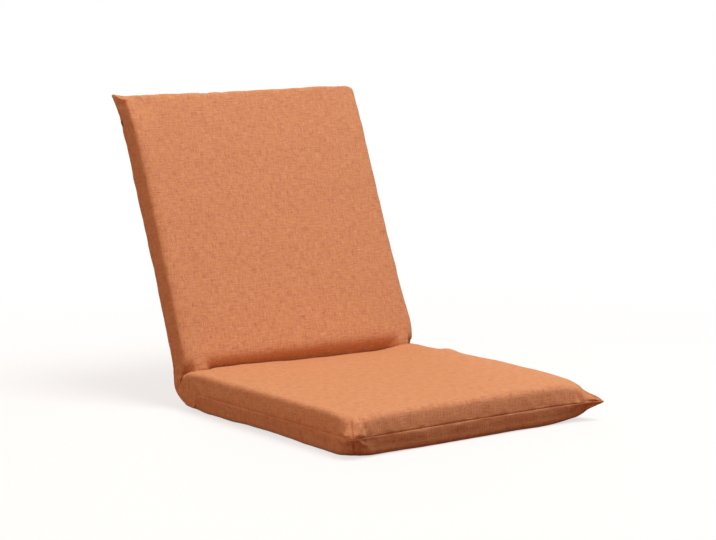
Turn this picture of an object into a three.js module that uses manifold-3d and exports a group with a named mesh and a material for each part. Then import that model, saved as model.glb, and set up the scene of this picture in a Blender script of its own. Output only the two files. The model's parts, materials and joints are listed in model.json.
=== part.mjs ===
import * as THREE from "three";
import { mergeVertices } from "three/addons/utils/BufferGeometryUtils.js";
import Module from "manifold-3d";

// Folding floor chair: a padded seat that lies on the floor and a padded back, joined by two ratchet hinges.
// Millimetres, +Z up. The sitter faces -Y. The origin is the middle of the seat's flat underside.
const wasm = await Module();
wasm.setup();

// The chair as a whole
const chairWidth = 480;
const backAngle = THREE.MathUtils.degToRad(111.6);
const gap = 0.3;
const cutOver = 60;
const clothThickness = 1.4;
const foamClearance = 0.6;

// The seat pad, measured from the hinge axis: forward along the pad, and up from the axis
const seatLength = 461.7;
const seatAbove = 18.3;
const seatBelow = 47;
const seatSeamBelow = 15.4;
const seatCrown = 4;
const seatEdgeRoll = 20;
const seatBaseRollIn = 20;
const seatBaseRollUp = 14;
const seatFrontBow = 3;
const seatHingeLift = 6;
const seatReliefAngle = THREE.MathUtils.degToRad(10.9);

// The back pad, measured in the same way with the back laid flat behind the hinge axis
const backLength = 505.7;
const backAbove = 11.4;
const backBelow = 34;
const backSeamBelow = 24;
const backCrown = 4;
const backEdgeRoll = 16;
const backBaseRollIn = 14;
const backBaseRollUp = 5;
const backEndBow = 0;
const backHingeLift = -9.5;
const backReliefAngle = THREE.MathUtils.degToRad(6.4);

// What both pads share
const sideBow = 4;
const seamTuck = 2;
const earReach = 9;
const earRadius = 3;
const cornerRadius = 24;
const cornerSpan = 30;
const hingeLiftLength = 45;
const topRingInsets = [60, 110, 170];
const sideSteps = 5;
const cornerSteps = 3;
const endSteps = 5;
const rollSteps = 3;

// The bend behind the hinge axis
const bendRadius = 42;
const bendCoreRadius = 10;
const bendEdgeRoll = 18;
const endClearance = 1;

// The bent steel tubes
const tubeRadius = 9.5;
const tubeWall = 1.2;
const tubeInset = 21;
const tubeEndInset = 26;
const tubeBend = 50;
const tubeFacets = 7;
const tubeBendSteps = 5;
const seatTubeBelow = 15;
const seatTubeStart = 46;
const backTubeBelow = 11.6;
const backTubeStart = 44;
const crossRadius = 8;
const seatCrossShares = [0.255, 0.65];
const backCrossShares = [0.235, 0.635];

// The elastic bands
const bandWidth = 44;
const bandThickness = 2;
const seatBandShares = [0.37, 0.52, 0.79];
const backBandShares = [0.36, 0.5, 0.78];

// The ratchet hinges
const gearThickness = 3;
const gearRadius = 22;
const gearRootRadius = 20.4;
const gearTeeth = 26;
const gearFrom = THREE.MathUtils.degToRad(-130);
const gearTo = THREE.MathUtils.degToRad(42);
const bossRadius = 12;
const gearArmHeight = 15.4;
const armLength = 50;
const cheekThickness = 2.5;
const cheekLobeRadius = 36;
const cheekArmHeight = 13.2;
const cheekRoot = 36;
const pivotRadius = 4;
const pivotHeadRadius = 8;
const pinRadius = 2.5;
const headRadius = 4.5;
const headThickness = 1.6;
const pawlPinRadiusAt = 29;
const pawlPinAngle = THREE.MathUtils.degToRad(-92);
const pawlNoseRadiusAt = 22.8;
const pawlNoseAngle = THREE.MathUtils.degToRad(-125);
const pawlEyeRadius = 4.5;
const pawlNoseDepth = 5;
const springThickness = 0.8;
const springRadiusAt = 34.6;
const springStart = THREE.MathUtils.degToRad(-62);
const springEnd = THREE.MathUtils.degToRad(-119);
const spacerRadiusAt = 29;
const spacerAngle = THREE.MathUtils.degToRad(-30);
const spacerRadius = 4;
const rivetSpacing = 24;
const rivetInset = 14;
const hingeRoomRadius = 39;
const hingeRoomHalf = 17;

// The zip in the back's top edge
const zipRightInset = 136;
const zipLeftInset = 34;
const tapeWidth = 6.5;
const tapeThickness = 0.8;
const coilWidth = 3.4;
const coilHeight = 1.6;
const sliderLength = 12;
const sliderWidth = 8;
const sliderHeight = 2.4;
const sliderFromEnd = 16;
const bridgeReach = 2.2;
const bridgeBar = 1;
const bridgeRise = 2.6;
const bridgeWidth = 1.8;
const pullLength = 40;
const pullWidth = 6;
const pullThickness = 1.2;
const pullRim = 1.2;
const pullEyeLength = 6;
const pullEyeWidth = 3;

// Colours and finishes
const linen = { color: "#d08862", roughness: 0.95, metalness: 0 };
const foam = { color: "#e8dfc4", roughness: 1, metalness: 0 };
const elastic = { color: "#3a3a3c", roughness: 0.9, metalness: 0 };
const paintedSteel = { color: "#26282b", roughness: 0.5, metalness: 0.3 };
const zincSteel = { color: "#b3b5b8", roughness: 0.35, metalness: 1 };
const springSteel = { color: "#8e9196", roughness: 0.3, metalness: 1 };
const zipMetal = { color: "#4a4642", roughness: 0.4, metalness: 0.8 };
const zipTape = { color: "#b9623c", roughness: 0.9, metalness: 0 };

// The hinge axis above the floor, and behind the middle of the underside
const axisHeight = seatBelow;
const baseLength = seatLength - seatBaseRollIn - hingeLiftLength;
const axisBack = hingeLiftLength + baseLength / 2;
const halfWidth = chairWidth / 2;
const railX = halfWidth - tubeInset;
const backTilt = Math.PI - backAngle;

function solidOf(geometry) {
  const bare = geometry.clone();
  bare.deleteAttribute("normal");
  bare.deleteAttribute("uv");
  const merged = mergeVertices(bare, 1e-4);
  const kept = [];
  const index = merged.index.array;
  for (let i = 0; i < index.length; i += 3) {
    const [a, b, c] = [index[i], index[i + 1], index[i + 2]];
    if (a !== b && b !== c && c !== a) kept.push(a, b, c);
  }
  const make = (triangles) => {
    const vertProperties = merged.attributes.position.array;
    return new wasm.Manifold(new wasm.Mesh({ numProp: 3, vertProperties, triVerts: new Uint32Array(triangles) }));
  };
  const made = make(kept);
  return made.volume() < 0 ? make(kept.reverse()) : made;
}

function geometryOf(solid) {
  const mesh = solid.getMesh();
  const positions = new THREE.BufferAttribute(new Float32Array(mesh.vertProperties), 3);
  const geometry = new THREE.BufferGeometry().setAttribute("position", positions);
  geometry.setIndex(new THREE.BufferAttribute(new Uint32Array(mesh.triVerts), 1));
  geometry.computeVertexNormals();
  return geometry;
}

const materials = new Map();

function piece(name, solid, finish, group) {
  if (!materials.has(finish)) materials.set(finish, new THREE.MeshStandardMaterial(finish));
  const mesh = new THREE.Mesh(geometryOf(solid), materials.get(finish));
  mesh.name = name;
  group.add(mesh);
  return mesh;
}

// A plate or a prism: an outline in Y and Z, extruded along X about the given middle
function prism(outline, middle, thickness, holes = []) {
  const shape = new THREE.Shape(outline.map(([y, z]) => new THREE.Vector2(y, z)));
  for (const [y, z, radius] of holes) shape.holes.push(new THREE.Path().absarc(y, z, radius, 0, 2 * Math.PI, true));
  const geometry = new THREE.ExtrudeGeometry(shape, { depth: thickness, bevelEnabled: false, curveSegments: 6 });
  geometry.rotateX(Math.PI / 2);
  geometry.rotateZ(Math.PI / 2);
  geometry.translate(middle - thickness / 2, 0, 0);
  return solidOf(geometry);
}

function block(xFrom, xTo, yFrom, yTo, zFrom, zTo) {
  const geometry = new THREE.BoxGeometry(xTo - xFrom, Math.abs(yTo - yFrom), zTo - zFrom);
  geometry.translate((xFrom + xTo) / 2, (yFrom + yTo) / 2, (zFrom + zTo) / 2);
  return solidOf(geometry);
}

function polar(radius, angle) {
  return [radius * Math.cos(angle), radius * Math.sin(angle)];
}

function arc(radius, from, to, steps) {
  const points = [];
  for (let i = 0; i <= steps; i++) points.push(polar(radius, from + ((to - from) * i) / steps));
  return points;
}

// A round solid on an axis along X: profile points are distance along the axis and radius
function turned(profile, y, z, facets) {
  const points = profile.map(([along, radius]) => new THREE.Vector2(radius, along));
  const geometry = new THREE.LatheGeometry(points, facets);
  geometry.rotateZ(-Math.PI / 2);
  geometry.translate(0, y, z);
  return solidOf(geometry);
}

function rod(xFrom, xTo, radius, y, z, facets = 16) {
  return turned([[xFrom, 0], [xFrom, radius], [xTo, radius], [xTo, 0]], y, z, facets);
}

function rivet(middle, halfGrip, radius, head, y, z) {
  const end = halfGrip + headThickness;
  const profile = [
    [middle - end, 0], [middle - end, head * 0.7], [middle - halfGrip - headThickness / 2, head],
    [middle - halfGrip, head], [middle - halfGrip, radius], [middle + halfGrip, radius],
    [middle + halfGrip, head], [middle + halfGrip + headThickness / 2, head],
    [middle + end, head * 0.7], [middle + end, 0],
  ];
  return turned(profile, y, z, 10);
}

// A curve that passes through chosen stations, so that a swept tube has a section at each of them
class StationPath extends THREE.Curve {
  constructor(stations) {
    super();
    this.stations = stations;
  }
  getPoint(t, target = new THREE.Vector3()) {
    const place = Math.min(Math.max(t, 0), 1) * (this.stations.length - 1);
    const before = Math.min(Math.floor(place), this.stations.length - 2);
    return target.copy(this.stations[before]).lerp(this.stations[before + 1], place - before);
  }
  getUtoTmapping(u) {
    return u;
  }
}

function sweptTube(stations, radius, wall) {
  const section = new THREE.Shape().absarc(0, 0, radius, 0, 2 * Math.PI);
  section.holes.push(new THREE.Path().absarc(0, 0, radius - wall, 0, 2 * Math.PI, true));
  const options = {
    steps: stations.length - 1,
    curveSegments: tubeFacets,
    bevelEnabled: false,
    extrudePath: new StationPath(stations),
  };
  return solidOf(new THREE.ExtrudeGeometry(section, options));
}

// Pads. Each pad runs from the hinge axis in one direction along Y, and its rings lie at rising heights.
const seatPad = {
  direction: -1,
  length: seatLength,
  above: seatAbove,
  below: seatBelow,
  seamBelow: seatSeamBelow,
  crown: seatCrown,
  edgeRoll: seatEdgeRoll,
  baseRollIn: seatBaseRollIn,
  baseRollUp: seatBaseRollUp,
  endBow: seatFrontBow,
  hingeLift: seatHingeLift,
};
const backPad = {
  direction: 1,
  length: backLength,
  above: backAbove,
  below: backBelow,
  seamBelow: backSeamBelow,
  crown: backCrown,
  edgeRoll: backEdgeRoll,
  baseRollIn: backBaseRollIn,
  baseRollUp: backBaseRollUp,
  endBow: backEndBow,
  hingeLift: backHingeLift,
};

// One closed ring of a pad: up one side from behind the hinge, round the far edge and back down the other side
function padRing(pad, inset, radius, reach, height) {
  const wide = halfWidth - inset;
  const far = pad.length - inset;
  const points = [];
  const add = (x, along) => {
    const share = THREE.MathUtils.clamp(along / pad.length, 0, 1);
    const bow = sideBow * 4 * share * (1 - share);
    const end = pad.endBow * Math.max(0, 1 - (x / wide) ** 2) * Math.max(0, (along - far / 2) / (far / 2));
    const shifted = x - Math.sign(x) * bow;
    const depth = along - end;
    points.push(new THREE.Vector3(shifted, pad.direction * depth, height(x, along)));
  };
  for (const side of [-1, 1]) {
    const half = [];
    half.push([side * wide, -cutOver], [side * wide, 0]);
    for (let i = 0; i <= sideSteps; i++) {
      half.push([side * wide, hingeLiftLength + ((far - cornerSpan - hingeLiftLength) * i) / sideSteps]);
    }
    for (let i = 0; i <= cornerSteps; i++) {
      const turn = ((Math.PI / 2) * i) / cornerSteps;
      const x = wide - radius + reach + radius * Math.cos(turn);
      half.push([side * x, far - radius + reach + radius * Math.sin(turn)]);
    }
    if (side > 0) half.reverse();
    if (side > 0) {
      for (let i = 0; i <= endSteps; i++) add(-(wide - cornerSpan) + (2 * (wide - cornerSpan) * i) / endSteps, far);
    }
    for (const [x, along] of half) add(x, along);
  }
  return points;
}

function padSolid(pad, inset, ears) {
  const crown = (x, along) => {
    const share = THREE.MathUtils.clamp(along / pad.length, 0, 1);
    return pad.crown * (1 - (x / halfWidth) ** 4) * (1 - (2 * share - 1) ** 4);
  };
  const lift = (along) => pad.hingeLift * THREE.MathUtils.smoothstep(hingeLiftLength - along, 0, hingeLiftLength);
  const top = pad.above - inset;
  const base = -pad.below + inset;
  const rings = [];
  for (let i = 0; i <= rollSteps; i++) {
    const turn = ((Math.PI / 2) * i) / rollSteps;
    const across = pad.baseRollIn * (1 - Math.sin(turn));
    const up = pad.baseRollUp * (1 - Math.cos(turn));
    rings.push(padRing(pad, inset + across, cornerRadius, 0, (x, along) => base + up + lift(along) * Math.cos(turn)));
  }
  const earRing = ears ? [earRadius, earReach - inset] : [cornerRadius, 0];
  rings.push(padRing(pad, inset + seamTuck, ...earRing, () => -pad.seamBelow));
  for (let i = 0; i <= rollSteps; i++) {
    const turn = ((Math.PI / 2) * i) / rollSteps;
    const across = pad.edgeRoll * (1 - Math.cos(turn));
    const up = pad.edgeRoll * (Math.sin(turn) - 1);
    rings.push(padRing(pad, inset + across, cornerRadius, 0, (x, along) => top + up + crown(x, along) * Math.sin(turn)));
  }
  for (const across of topRingInsets) {
    rings.push(padRing(pad, inset + across, cornerRadius, 0, (x, along) => top + crown(x, along)));
  }
  const around = rings[0].length;
  const faces = [];
  for (let k = 0; k < around; k++) {
    const next = (k + 1) % around;
    for (let level = 0; level < rings.length - 1; level++) {
      const [a, b] = [level * around + k, level * around + next];
      faces.push(a, b, b + around, a, b + around, a + around);
    }
  }
  const last = (rings.length - 1) * around;
  for (let k = 0; k < around / 2 - 1; k++) {
    const mirrored = around - 1 - k;
    faces.push(k + 1, k, mirrored, k + 1, mirrored, mirrored - 1);
    faces.push(last + k, last + k + 1, last + mirrored, last + k + 1, last + mirrored - 1, last + mirrored);
  }
  const geometry = new THREE.BufferGeometry().setFromPoints(rings.flat());
  return solidOf(geometry.setIndex(faces));
}

// Where the parts of the cover and the foam end: outlines in Y and Z about the hinge axis
const reach = 2 * (seatLength + backLength);
const roomy = 2 * chairWidth;
const rollTurn = THREE.MathUtils.radToDeg(backTilt);
const turnedUp = (solid) => solid.rotate([rollTurn, 0, 0]);
const seatSlope = Math.PI - seatReliefAngle;
const backSlope = backReliefAngle;
const creaseAngle = Math.atan2(seatAbove, (seatAbove * Math.cos(backTilt) - backAbove) / Math.sin(backTilt));

function wedge(from, to) {
  const [near, far] = [polar(reach, from), polar(reach, to)];
  return prism([[0, 0], near, polar(reach / Math.cos((to - from) / 2), (from + to) / 2), far], 0, roomy);
}

function padRegion(pad, slope) {
  const side = pad.direction;
  const [slopeY, slopeZ] = polar(reach, slope);
  const start = side * endClearance;
  const low = -reach;
  const outline = [[start, low], [side * reach, low], [side * reach, slopeZ], [slopeY, slopeZ], [start, 0]];
  return prism(outline, 0, roomy);
}

const aboveSeam = (pad) => block(-roomy, roomy, -reach, reach, -pad.seamBelow + gap / 2, reach);
const belowSeam = (pad) => block(-roomy, roomy, -reach, reach, -reach, -pad.seamBelow - gap / 2);
const seatOuter = padSolid(seatPad, 0, true);
const backOuter = padSolid(backPad, 0, true);
const seatShell = seatOuter.subtract(padSolid(seatPad, clothThickness, true));
const backShell = backOuter.subtract(padSolid(backPad, clothThickness, true));
const seatFilling = padSolid(seatPad, clothThickness + foamClearance, false);
const backFilling = padSolid(backPad, clothThickness + foamClearance, false);
const seatRegion = padRegion(seatPad, seatSlope);
const backRegion = padRegion(backPad, backSlope);

// The chair's groups: the back's group turns about the hinge axis
const chair = new THREE.Group();
const seat = new THREE.Group();
const back = new THREE.Group();
const bend = new THREE.Group();
for (const group of [seat, back, bend]) {
  group.position.set(0, axisBack, axisHeight);
  chair.add(group);
}
back.rotation.x = backTilt;

// The cover: four pieces of shell that turn with the pads
piece("seat_cover_top", seatShell.intersect(seatRegion).intersect(aboveSeam(seatPad)), linen, seat);
piece("seat_cover_base", seatShell.intersect(seatRegion).intersect(belowSeam(seatPad)), linen, seat);
piece("back_cover_front", backShell.intersect(backRegion).intersect(aboveSeam(backPad)), linen, back);
piece("back_cover_rear", backShell.intersect(backRegion).intersect(belowSeam(backPad)), linen, back);

// The cover and the foam where the chair bends: a crease in front of the axis and a round bend behind it
const slopeGap = THREE.MathUtils.degToRad(0.4);
const seatWedge = wedge(creaseAngle - slopeGap, seatSlope - slopeGap);
const backWedge = wedge(backTilt + backSlope + slopeGap, creaseAngle);
const bendWedge = wedge(-Math.PI / 2, backTilt - Math.PI / 2);

function bendSolid(inset) {
  const wide = halfWidth - inset;
  const radius = bendRadius - inset;
  const roll = (side) => {
    const points = [];
    for (let i = 0; i <= rollSteps; i++) {
      const turn = ((Math.PI / 2) * i) / rollSteps;
      const along = side * (wide - bendEdgeRoll + bendEdgeRoll * Math.cos(turn));
      points.push([along, radius - bendEdgeRoll + bendEdgeRoll * Math.sin(turn)]);
    }
    return side < 0 ? points : points.reverse();
  };
  return turned([[-wide, 0], ...roll(-1), ...roll(1), [wide, 0]], 0, 0, 32);
}

const creaseShell = seatShell.intersect(seatWedge).add(turnedUp(backShell).intersect(backWedge));
piece("crease_cover", creaseShell.decompose().sort((a, b) => b.volume() - a.volume())[0], linen, bend);
piece("bend_cover", bendSolid(0).subtract(bendSolid(clothThickness)).intersect(bendWedge), linen, bend);

const hingeRoom = [-1, 1].map((side) => {
  const [from, to] = [side * railX - hingeRoomHalf, side * railX + hingeRoomHalf];
  return rod(from, to, hingeRoomRadius, 0, 0, 20);
});
const withoutHinges = (solid) => solid.subtract(hingeRoom[0]).subtract(hingeRoom[1]);
const core = rod(-railX, railX, bendCoreRadius, 0, 0);
const coreRoom = rod(-roomy, roomy, bendCoreRadius + gap, 0, 0);
const bendFoam = withoutHinges(
  seatFilling.intersect(seatWedge)
    .add(turnedUp(backFilling).intersect(backWedge))
    .add(bendSolid(clothThickness + foamClearance).intersect(bendWedge))
    .add(core),
);
piece("bend_foam", bendFoam.decompose().sort((a, b) => b.volume() - a.volume())[0], foam, bend);

// The frame of one pad: a bent tube, cross tubes and elastic bands, with foam on both sides
function frameOf(name, pad, group, region, filling, sizes) {
  const { tubeBelow, start, crossShares, bandShares, foamNames } = sizes;
  const front = pad.length - tubeEndInset;
  const crossPlaces = crossShares.map((share) => share * pad.length);
  const bandPlaces = bandShares.map((share) => share * pad.length);
  const y = (along) => pad.direction * along;
  const stations = [];
  const place = (x, along) => stations.push(new THREE.Vector3(x, y(along), -tubeBelow));
  for (const side of [-1, 1]) {
    const turns = [];
    for (let i = 0; i <= tubeBendSteps; i++) turns.push(((Math.PI / 2) * i) / tubeBendSteps);
    if (side > 0) turns.reverse();
    if (side < 0) place(-railX, start);
    for (const turn of turns) {
      place(side * (railX - tubeBend + tubeBend * Math.cos(turn)), front - tubeBend + tubeBend * Math.sin(turn));
    }
    if (side > 0) place(railX, start);
  }
  let tube = sweptTube(stations, tubeRadius, tubeWall);
  const rivets = [start + rivetInset, start + rivetInset + rivetSpacing];
  for (const along of rivets) tube = tube.subtract(rod(-roomy, roomy, pinRadius + gap, y(along), -tubeBelow, 12));
  piece(name + "_frame_tube", tube, paintedSteel, group);

  const rails = [-1, 1].map((side) => {
    const runs = [new THREE.Vector3(side * railX, y(start), -tubeBelow)];
    runs.push(new THREE.Vector3(side * railX, y(front), -tubeBelow));
    const round = new THREE.Shape().absarc(0, 0, tubeRadius + gap, 0, 2 * Math.PI);
    const options = { steps: 1, curveSegments: tubeFacets, bevelEnabled: false, extrudePath: new StationPath(runs) };
    return solidOf(new THREE.ExtrudeGeometry(round, options));
  });
  crossPlaces.forEach((along, i) => {
    const bar = rod(-railX, railX, crossRadius, y(along), -tubeBelow);
    const bore = rod(-roomy, roomy, crossRadius - tubeWall, y(along), -tubeBelow);
    const coped = bar.subtract(bore).subtract(rails[0]).subtract(rails[1]);
    const body = coped.decompose().sort((a, b) => b.volume() - a.volume())[0];
    piece(name + "_cross_tube_" + (i + 1), body, paintedSteel, group);
  });

  const bandBase = -tubeBelow + tubeRadius + gap;
  bandPlaces.forEach((along, i) => {
    const inner = tubeRadius + gap;
    const outer = inner + bandThickness;
    const outline = [];
    for (const [radius, side, flip] of [[outer, -1, true], [outer, 1, false], [inner, 1, true], [inner, -1, false]]) {
      const turns = arc(radius, Math.PI / 2, -Math.PI / 4, 6).map(([x, z]) => [side * (railX + x), z]);
      if (flip) turns.reverse();
      outline.push(...turns);
    }
    const shape = new THREE.Shape(outline.map(([x, z]) => new THREE.Vector2(x, z)));
    const geometry = new THREE.ExtrudeGeometry(shape, { depth: bandWidth, bevelEnabled: false });
    geometry.rotateX(Math.PI / 2);
    geometry.translate(0, y(along) + bandWidth / 2, -tubeBelow);
    piece(name + "_elastic_band_" + (i + 1), solidOf(geometry), elastic, group);
  });

  const bandTop = bandBase + bandThickness + gap;
  const upper = withoutHinges(filling.intersect(region)).subtract(coreRoom);
  const topFoam = upper.intersect(block(-roomy, roomy, -reach, reach, bandTop, reach));
  piece(foamNames[0], topFoam.decompose().sort((a, b) => b.volume() - a.volume())[0], foam, group);
  const inside = railX - tubeRadius - bandThickness - 2 * gap;
  const under = block(-roomy, roomy, -reach, reach, -reach, -tubeBelow - tubeRadius - bandThickness - 2 * gap);
  const frontInside = front - tubeRadius - 2 * gap;
  let middle = block(-inside, inside, 0, y(frontInside), -reach, bandBase - gap);
  for (const along of crossPlaces) {
    const half = crossRadius + gap;
    middle = middle.subtract(block(-inside, inside, y(along) - half, y(along) + half, -tubeBelow - half, reach));
  }
  for (const side of [-1, 1]) {
    const bendRoom = tubeBend + tubeRadius;
    const x = side * (inside - bendRoom / 2);
    const from = y(frontInside - bendRoom);
    middle = middle.subtract(
      block(x - bendRoom / 2, x + bendRoom / 2, from, y(frontInside), -tubeBelow - tubeRadius - gap, reach),
    );
  }
  const lower = upper.intersect(under.add(middle));
  piece(foamNames[1], lower.decompose().sort((a, b) => b.volume() - a.volume())[0], foam, group);
}

frameOf("seat", seatPad, seat, seatRegion, seatFilling, {
  tubeBelow: seatTubeBelow,
  start: seatTubeStart,
  crossShares: seatCrossShares,
  bandShares: seatBandShares,
  foamNames: ["seat_foam_top", "seat_foam_base"],
});
frameOf("back", backPad, back, backRegion, backFilling, {
  tubeBelow: backTubeBelow,
  start: backTubeStart,
  crossShares: backCrossShares,
  bandShares: backBandShares,
  foamNames: ["back_foam_front", "back_foam_rear"],
});

// One ratchet hinge: the gear plate is fast in the seat's tube, the cheeks carry the pawl and are fast in the back's
function hinge(side, name) {
  const x = side * railX;
  const holeRadius = pinRadius + gap;
  const cheekX = gearThickness / 2 + gap + cheekThickness / 2;
  const outerFace = cheekX + cheekThickness / 2;
  const teeth = [];
  for (let i = 0; i < gearTeeth; i++) {
    const step = (gearTo - gearFrom) / gearTeeth;
    teeth.push(polar(gearRootRadius, gearFrom + step * i));
    teeth.push(polar(gearRadius, gearFrom + step * (i + 0.5)));
  }
  const seatArm = [-seatTubeBelow + gearArmHeight / 2, -seatTubeBelow - gearArmHeight / 2];
  const seatArmEnd = -(seatTubeStart + armLength);
  const gearOutline = [
    ...teeth,
    ...arc(bossRadius, gearTo, Math.PI * 0.85, 6),
    [-seatTubeStart + endClearance, seatArm[0]], [seatArmEnd, seatArm[0]],
    [seatArmEnd, seatArm[1]], [-seatTubeStart + endClearance, seatArm[1]],
  ];
  const seatRivets = [0, 1].map((i) => [-(seatTubeStart + rivetInset + rivetSpacing * i), -seatTubeBelow]);
  const backRivets = [0, 1].map((i) => [backTubeStart + rivetInset + rivetSpacing * i, -backTubeBelow]);
  const gearHoles = [[0, 0, pivotRadius + gap], ...seatRivets.map((place) => [...place, holeRadius])];
  piece(name + "_gear_plate", prism(gearOutline, x, gearThickness, gearHoles), zincSteel, seat);

  const backArm = [-backTubeBelow + cheekArmHeight / 2, -backTubeBelow - cheekArmHeight / 2];
  const backArmEnd = backTubeStart + armLength;
  const cheekOutline = [
    [cheekRoot, backArm[0]],
    ...arc(bossRadius, Math.PI / 3, Math.PI, 8),
    ...arc(cheekLobeRadius, pawlNoseAngle, springStart, 8),
    [cheekRoot, backArm[1]], [backArmEnd, backArm[1]], [backArmEnd, backArm[0]],
  ];
  const pawlPin = polar(pawlPinRadiusAt, pawlPinAngle);
  const spacer = polar(spacerRadiusAt, spacerAngle);
  const cheekHoles = [
    [0, 0, pivotRadius + gap], [...pawlPin, holeRadius], [...spacer, holeRadius],
    ...backRivets.map((place) => [...place, holeRadius]),
  ];
  for (const [label, offset] of [["outer", side * cheekX], ["inner", -side * cheekX]]) {
    piece(name + "_cheek_" + label, prism(cheekOutline, x + offset, cheekThickness, cheekHoles), zincSteel, back);
  }
  piece(name + "_pivot_rivet", rivet(x, outerFace + gap, pivotRadius, pivotHeadRadius, 0, 0), springSteel, back);
  piece(name + "_pawl_pin", rivet(x, outerFace + gap, pinRadius, headRadius, ...pawlPin), springSteel, back);

  const spacerHalf = gearThickness / 2;
  const spacerProfile = [
    [x - outerFace, 0], [x - outerFace, pinRadius], [x - spacerHalf, pinRadius], [x - spacerHalf, spacerRadius],
    [x + spacerHalf, spacerRadius], [x + spacerHalf, pinRadius], [x + outerFace, pinRadius], [x + outerFace, 0],
  ];
  piece(name + "_spacer", turned(spacerProfile, ...spacer, 12), springSteel, back);

  const nose = polar(pawlNoseRadiusAt, pawlNoseAngle);
  const noseBack = polar(pawlNoseRadiusAt + pawlNoseDepth, pawlNoseAngle);
  const eye = arc(pawlEyeRadius, pawlPinAngle - Math.PI / 2, pawlPinAngle + Math.PI * 1.1, 10);
  const pawlOutline = [noseBack, ...eye.map(([y, z]) => [pawlPin[0] + y, pawlPin[1] + z]), nose];
  piece(name + "_pawl", prism(pawlOutline, x, gearThickness, [[...pawlPin, holeRadius]]), zincSteel, back);

  const leaf = [];
  const leafSteps = 6;
  for (const offset of [0, springThickness]) {
    const edge = [];
    for (let i = 0; i <= leafSteps; i++) {
      const share = i / leafSteps;
      const rest = pawlNoseRadiusAt + pawlNoseDepth + gap;
      const radius = springRadiusAt + (rest - springRadiusAt) * THREE.MathUtils.smoothstep(share, 0.55, 1);
      edge.push(polar(radius + offset, springStart + (springEnd - springStart) * share));
    }
    if (offset) edge.reverse();
    leaf.push(...edge);
  }
  piece(name + "_pawl_spring", prism(leaf, x, gearThickness), springSteel, back);

  seatRivets.forEach((place, i) => {
    piece(name + "_seat_rivet_" + (i + 1), rivet(x, tubeRadius + gap, pinRadius, headRadius, ...place), springSteel, seat);
  });
  backRivets.forEach((place, i) => {
    piece(name + "_back_rivet_" + (i + 1), rivet(x, tubeRadius + gap, pinRadius, headRadius, ...place), springSteel, back);
  });
}

hinge(-1, "right_hinge");
hinge(1, "left_hinge");

// The zip lies on the wall of the back's top edge, which leans out by the seam's tuck
const wallTop = backAbove - backEdgeRoll;
const wallMiddle = (wallTop - backSeamBelow) / 2;
const zipFrom = zipRightInset - halfWidth;
const zipTo = halfWidth - zipLeftInset;
const sliderPlace = zipFrom + sliderFromEnd;
const zip = new THREE.Group();
zip.position.set(0, backLength - seamTuck / 2, wallMiddle);
zip.rotation.x = -Math.atan2(seamTuck, wallTop + backSeamBelow);
back.add(zip);

const strip = (from, to, low, high, left, right) => block(from, to, low, high, left, right);
for (const [name, sign] of [["front", 1], ["rear", -1]]) {
  const edges = [sign * (coilWidth / 2 + gap), sign * (coilWidth / 2 + gap + tapeWidth)].sort((a, b) => a - b);
  piece("zip_tape_" + name, strip(zipFrom, zipTo, gap, gap + tapeThickness, ...edges), zipTape, zip);
}
const coilTop = gap + coilHeight;
piece("zip_coil", strip(zipFrom, zipTo, gap, coilTop, -coilWidth / 2, coilWidth / 2), zipMetal, zip);

const sliderFace = coilTop + gap;
const sliderTop = sliderFace + sliderHeight;
const across = (from, to, low, high, width) => strip(from, to, low, high, -width / 2, width / 2);
const postEnd = bridgeReach + bridgeBar;
const bridge = across(sliderPlace - postEnd, sliderPlace + postEnd, sliderTop, sliderTop + bridgeRise + bridgeBar, bridgeWidth)
  .subtract(across(sliderPlace - bridgeReach, sliderPlace + bridgeReach, sliderTop, sliderTop + bridgeRise, sliderWidth));
const sliderHalf = sliderLength / 2;
const sliderBody = across(sliderPlace - sliderHalf, sliderPlace + sliderHalf, sliderFace, sliderTop, sliderWidth);
piece("zip_slider", sliderBody.add(bridge), zipMetal, zip);
const pullFrom = sliderPlace - pullRim / 2;
const pullBase = sliderTop + gap;
const pullTop = pullBase + pullThickness;
const eyeFrom = pullFrom + pullRim;
const pullBody = across(pullFrom, pullFrom + pullLength, pullBase, pullTop, pullWidth)
  .subtract(across(eyeFrom, eyeFrom + pullEyeLength, sliderFace, pullTop + bridgeRise, pullEyeWidth));
piece("zip_pull", pullBody, zipMetal, zip);

export default chair;
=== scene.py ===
import json
import math
from collections import namedtuple
import bpy
import numpy as np
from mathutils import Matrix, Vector


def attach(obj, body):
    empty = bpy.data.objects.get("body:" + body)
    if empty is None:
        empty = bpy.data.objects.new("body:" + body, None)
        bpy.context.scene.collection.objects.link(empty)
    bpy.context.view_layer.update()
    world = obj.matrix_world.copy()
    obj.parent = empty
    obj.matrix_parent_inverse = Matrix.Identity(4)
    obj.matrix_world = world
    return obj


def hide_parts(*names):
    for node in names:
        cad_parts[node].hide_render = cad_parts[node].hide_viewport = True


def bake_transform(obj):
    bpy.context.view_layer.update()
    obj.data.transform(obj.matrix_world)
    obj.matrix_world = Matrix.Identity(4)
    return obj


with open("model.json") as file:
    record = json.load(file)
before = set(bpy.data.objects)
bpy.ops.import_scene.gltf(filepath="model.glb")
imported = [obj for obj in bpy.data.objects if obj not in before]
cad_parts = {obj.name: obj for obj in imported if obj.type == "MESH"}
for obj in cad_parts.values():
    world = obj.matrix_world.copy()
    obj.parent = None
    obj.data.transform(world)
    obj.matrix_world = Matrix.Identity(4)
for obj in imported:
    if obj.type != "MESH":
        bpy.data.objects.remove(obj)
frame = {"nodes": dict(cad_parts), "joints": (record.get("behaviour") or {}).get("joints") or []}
nodes = frame["nodes"]
joints = {joint["name"]: joint for joint in frame["joints"]}
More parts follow.
